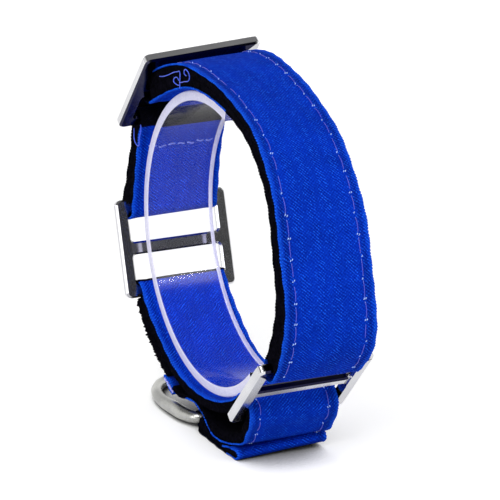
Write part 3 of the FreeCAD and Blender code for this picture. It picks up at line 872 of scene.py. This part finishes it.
leg = [(ring_bar[0], 2 * fold_out)]
for along, hang in ((6.75, 1.2), (10.8, 0.6), (15.0, 0.3)):
    leg.append((ring_bar[0] + along, closing_height(ring_bar[0] + along) - hang))
fold_face = face_along(np.vstack([
    np.linspace((tail_hinge[0], 0.0), (ring_bar[0], 0.0), 20)[:-1],
    arc(ring_bar, fold_out, 270, 90)[:-1], through(leg, 40, -30)]), flip=True)
webbing("ring_fold", fold_face, "d_ring_fold", seam_relief(depth=0.0, waves=0.25, flare=0.0),
        # the near half of the fold is painted black: partly pile, partly painted shade
        lambda s, y: (s < fold_face.length - 9) * (y < 0) * 1.0,
        "gathered", ["d_ring"], width=breadth("d_ring_fold"))

# ---- tail: webbing on the floor, thick pile on it, and a rolled hem that lifts at the far side
tail_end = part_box("tail_webbing")[1].x / MM
tail_start = tail_hinge[0] + 0.3
tail_near = through([(tail_start, 0.0), (tail_start + 20, 0.0), (tail_end - 9, 0.0),
                     (tail_end - 2.2, 0.5), (tail_end - 0.2, 3.0), (tail_end - 2.6, 5.4),
                     (tail_end - 8, 5.6), (tail_end - 14, 4.6), (tail_end - 19, 3.3)], 0, 195)
tail_far = through([(tail_start, 0.0), (tail_start + 20, 0.0), (tail_end - 9, 1.4),
                    (tail_end - 1.0, 3.2), (tail_end + 2.0, 6.6), (tail_end - 0.4, 9.6),
                    (tail_end - 6, 9.0), (tail_end - 13, 6.6), (tail_end - 19, 4.0)], 0, 200)
webbing("tail_cloth", face_along(tail_near, tail_far), "tail_webbing",
        seam_relief(depth=0.0, waves=0.0, flare=0.0),
        # the near edge of the tail is painted black up to the hem: partly pile, partly painted shade
        lambda s, y: (s < tail_end - tail_start - 12) * (y < NEAR_MARGIN) * 1.0,
        "folded", [], "tail_flap")


def pad_top(x):
    """Top of the pile on the tail: under the fold's leg, then under the closing strap."""
    # the pile's top is raised to meet the strap above, so its black also fills the shaded gap there: partly pile,
    # partly painted shade
    under_leg = closing_height(x) - 2.2 - 1.2 * (x < ring_bar[0] + 11)
    under_strap = closing_height(x) - 0.5
    top = np.where(x < ring_bar[0] + 15.6, under_leg, under_strap)
    return np.minimum(top, 4.8 + (x - tail_start) * 2.2)


def level_face(x, near, far=None):
    """A face over the floor, along X at the given heights."""
    return face_along(*[np.column_stack([x, np.broadcast_to(height, x.shape)])
                        for height in (near, near if far is None else far)], flip=True)


pad_x = np.linspace(tail_start, tail_end - 10.2, int((tail_end - 10.2 - tail_start) / 0.5))
pile("tail_fuzz", level_face(pad_x, pad_top(pad_x)), level_face(pad_x, 0.85), "tail_pile", 42,
     body="tail_flap")
hem_x = tail_end - np.array([10.4, 6.0, 2.8])
pile("hem_fuzz", level_face(hem_x, (4.4, 4.5, 4.1), (6.4, 7.6, 8.0)),
     level_face(hem_x, (0.9, 1.0, 1.5), (2.2, 3.2, 4.8)), "tail_hem_filler", 43,
     body="tail_flap")

# ---- sliders: each keeps the frame's shape, changed a little in its own axes ----
PLATE_Y = STRAP_WIDTH / 2 + 1.6          # past this, a point is on a side plate
PLATE_RISE = 1.2                         # of the outer faces, over the frame's


def restyled(slider, change, painted_reflection):
    """A piece from a slider's own shape. change and painted_reflection take the slider's axes: along the travel
    round the ring, outward from its face, and Y. change moves the points, and painted_reflection(normal, middle)
    says how far a face is painted near-black as a painted reflection of the black pile, from 0 to 1."""
    source = frame["nodes"][slider]
    mesh = source.data.copy()
    mesh.transform(source.matrix_world)
    points = np.empty(len(mesh.vertices) * 3)
    mesh.vertices.foreach_get("co", points)
    points = points.reshape(-1, 3) / MM
    centre = joint_place(slider + "_rock")
    travel, out = unit(SLIDER_FACING[slider] + 90), unit(SLIDER_FACING[slider])
    flat = points[:, [0, 2]] - centre
    along, outward_by, y = change(flat @ travel, flat @ out, points[:, 1])
    flat = centre + along[:, None] * travel + outward_by[:, None] * out
    points = np.column_stack([flat[:, 0], y, flat[:, 1]]) * MM
    mesh.vertices.foreach_set("co", points.ravel())
    mesh.update()
    axes = np.array([[travel[0], 0, travel[1]], [out[0], 0, out[1]], [0, 1, 0]])
    origin = np.array([centre[0], 0, centre[1]])
    shade = [float(painted_reflection(axes @ np.array(polygon.normal),
                        axes @ (np.array(polygon.center) / MM - origin)))
             for polygon in mesh.polygons]
    mesh.attributes.new("shade", "FLOAT", "FACE").data.foreach_set("value", shade)
    mesh.materials.clear()
    mesh.materials.append(PLATING)
    as_piece(add_object(slider + "_metal", mesh), slider, slider)


def faces_in(normal):
    return normal[1] < -0.5


def thin_middle(along, out, y):
    """A narrower middle bar, and plates that stand out a little further."""
    bars = np.abs(y) < PLATE_Y
    out = np.where(bars | (out < 0), out, out + PLATE_RISE)
    return np.where(bars & (np.abs(along) < 5), along * 0.75 - 0.9, along), out, y


def skewed(along, out, y):
    """Pulled out of square by the straps: the far end sits higher, the near plate leans."""
    out = np.where(out > 0, out + PLATE_RISE, out)
    return along - 0.085 * (y + 25), out, y - 0.06 * (along + BAR_PITCH)


def between_bars(normal, middle):
    """Painted reflection: the bars' sides towards the front strap, and the whole bar inside its fold, painted
    near-black.
    """
    return abs(middle[2]) < PLATE_Y and (normal[0] > 0.3 or middle[0] > 15)


def inner_side(normal, middle):
    """The faces painted near-black as a painted reflection of the black pile: the inner ones, and bars inside the
    straps' folds.
    """
    if abs(middle[2]) < PLATE_Y:
        return faces_in(normal) or middle[0] > -15
    return 0.97 if faces_in(normal) and middle[2] < 0 else 0.0


def near_inner(normal, middle):
    """The inner face of the near plate, painted partly dark: a painted reflection."""
    return 0.35 if faces_in(normal) and middle[2] < -PLATE_Y else 0.0


restyled("bottom_slider", thin_middle, between_bars)
restyled("top_slider", skewed, inner_side)
restyled("left_slider", lambda along, out, y: (along, out, y), near_inner)

# ---- clear former: a C of thick sheet with eased edges ----
FORMER_ENDS = (72.5, 313.5)
FORMER_THICKNESS = 5.4
EASED = 0.9                              # radius of its edges
former_half = breadth("clear_former") / 2
rim = []
for side, level, start in ((1, 1, 0), (-1, 1, 90), (-1, -1, 180), (1, -1, 270)):
    centre = np.array([side * (former_half - EASED), level * (FORMER_THICKNESS / 2 - EASED)])
    corner = [centre + unit(a) * EASED for a in np.linspace(start, start + 90, 6)]
    # a point close on each side of the rounding keeps the flat faces' shading flat
    rim += [corner[0] + unit(start - 90) * 0.1, *corner, corner[-1] + unit(start + 180) * 0.1]
rim = np.array(rim)
turns = np.radians(np.linspace(*FORMER_ENDS, 482))[:, None]
radii = FORMER_RADIUS - FORMER_THICKNESS / 2 + rim[:, 1]
former_points = np.stack([AXIS[0] + np.cos(turns) * radii, np.zeros_like(turns) + rim[:, 0],
                          AXIS[1] + np.sin(turns) * radii], -1)
as_piece(make_mesh("former_sheet", former_points.reshape(-1, 3),
                wall_faces(len(turns), len(rim), flip=True), CLEAR),
      "clear_former", "former")

# ---- D-ring: heavy wire whose arms swell outward a little between the bar and the bow ----
ring_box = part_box("d_ring")
wire_radius = WIRE / 2 + 0.3
ring_half = ring_box[1].y / MM - WIRE / 2
ring_reach = ring_bar[0] - ring_box[0].x / MM - WIRE / 2
half_ring = through([(0, 0), (0, -0.62 * ring_half), (2.6, -0.89 * ring_half),
                     (9, -1.02 * ring_half), (22, -1.075 * ring_half), (35, -1.07 * ring_half),
                     (47, -0.98 * ring_half), (57, -0.81 * ring_half), (64, -0.57 * ring_half),
                     (68, -0.29 * ring_half), (ring_reach - 0.8, 0)], -90, 90)
ring_x, ring_y = np.vstack([half_ring, half_ring[1:-1][::-1] * (1, -1)]).T
ring_level = fold_out - (fold_out - wire_radius) * ring_x / ring_reach
heavy = 0.9 * np.exp(-((ring_x - 20) / 16) ** 2)
ring_path = np.column_stack([ring_bar[0] - ring_x, ring_y * (1 - 0.03 * heavy),
                             ring_level + 0.5 * heavy])
as_piece(make_mesh("ring_wire", *tube(ring_path, wire_radius + heavy, 28, closed=True), RING),
      "d_ring", "d_ring")

# ---- floor and world ----


def floor_material(colour=0.80, near_glow=0.45):
    """A matt surface that shows white and still takes shadows. Ambient occlusion paints shade under the belt: it
    dims the glow and the base colour in the corners there, and the glow rises to full white far away."""
    m = Nodes(bpy.data.materials.new("white_floor"))
    path = m.add("ShaderNodeLightPath").outputs
    seen = m.math("MAXIMUM", path["Is Camera Ray"],
                  m.math("MAXIMUM", path["Is Glossy Ray"], path["Is Transmission Ray"]))
    # ambient occlusion: painted shade on the floor under the belt
    corner = m.add("ShaderNodeAmbientOcclusion", {"Distance": 0.08}, samples=8).outputs["AO"]
    away = m.add("ShaderNodeVectorMath", {0: m.place()}, operation="LENGTH").outputs["Value"]
    glow = m.times(m.ramp(away, 0.5, 1.6, near_glow, 1.0), m.ramp(corner, 0.14, 0.56))
    return m.surface({
        "Base Color": m.grey(m.ramp(corner, 0.15, 0.6, 0.05, colour)), "Roughness": 1.0,
        "Specular IOR Level": 0.0, "Emission Color": (1, 1, 1, 1),
        "Emission Strength": m.times(seen, glow)})


bpy.ops.mesh.primitive_plane_add(size=8.0, location=(0, 0, -0.0002))
floor = bpy.context.object
floor.name = "floor"
floor.data.materials.append(floor_material())

# the world is white to the camera, and metal mirrors a dim studio with a pale backdrop
bpy.context.scene.world = bpy.data.worlds.new("studio")
sky = Nodes(bpy.context.scene.world)
background = sky.tree.nodes["Background"]
background.inputs["Color"].default_value = (1, 1, 1, 1)
path = sky.add("ShaderNodeLightPath").outputs
mirrored = sky.math("MAXIMUM", sky.math("GREATER_THAN", path["Glossy Depth"], 0.5),
                    path["Is Glossy Ray"])
way = sky.split(sky.add("ShaderNodeTexCoord").outputs["Generated"])
backdrop = sky.times(sky.ramp(way["X"], 0.05, 0.45, 1.0, 0.0),
                     sky.ramp(way["Z"], 0.40, 0.70, 1.0, 0.0))
ceiling = sky.ramp(way["Z"], 0.35, 0.9, 0.07, 0.22)
reflected = sky.times(mirrored, sky.math("MAXIMUM", backdrop, ceiling))
straight = sky.math("SUBTRACT", 1.0, mirrored)
seen = sky.times(straight, sky.math("MAXIMUM", path["Is Camera Ray"],
                                    path["Is Transmission Ray"]))
ambient = sky.times(straight, 0.48)
sky.set(background.inputs["Strength"],
        sky.math("MAXIMUM", seen, sky.math("MAXIMUM", reflected, ambient)))

# ---- lamps ----


def lamp(name, spot, target, size, power):
    data = bpy.data.lights.new(name, "AREA")
    data.shape = "RECTANGLE"
    data.size, data.size_y = size
    data.energy = power
    made = add_object(name, data)
    made.location = spot
    made.rotation_euler = (target - Vector(spot)).to_track_quat("-Z", "Y").to_euler()
    return made


middle = Vector((0.0, 0.0, 0.10))
lamp("key", (0.9, -0.75, 1.25), middle, (0.9, 0.9), 13.5)
lamp("fill", (0.6, -1.35, 0.4), middle, (0.8, 0.8), 6.0)
lamp("rim", (0.45, 1.35, 1.0), middle, (0.6, 0.6), 5.0)
# a small tube puts the soft glare on the former's inside; it isn't seen through the former
glare = Vector((-0.0740, -0.0157, 0.0628))
tube_lamp = lamp("tube", glare + Vector((0.952, 0.556, 0.847)), glare, (0.034, 0.20), 0.7)
tube_lamp.visible_transmission = False

# ---- camera, solved from the photograph ----
AZIMUTH, ELEVATION = math.radians(64.37), math.radians(17.29)
DISTANCE = 1566.11
LOOK_AT = Vector((158.254, -72.51, 153.27)) * MM
FOCAL_PIXELS, IMAGE_PIXELS, SENSOR = 3336.72, 500, 36.0
camera_data = bpy.data.cameras.new("camera")
camera = add_object("camera", camera_data)
bpy.context.scene.camera = camera
back = Vector((math.sin(AZIMUTH) * math.cos(ELEVATION), -math.cos(AZIMUTH) * math.cos(ELEVATION),
               math.sin(ELEVATION)))
camera.location = LOOK_AT + back * DISTANCE * MM
camera.rotation_mode = "QUATERNION"
camera.rotation_quaternion = (-back).to_track_quat("-Z", "Y")
camera_data.sensor_width = SENSOR
camera_data.lens = FOCAL_PIXELS / IMAGE_PIXELS * SENSOR
camera_data.clip_start, camera_data.clip_end = 0.05, 20.0

bpy.context.scene.view_settings.view_transform = "Standard"
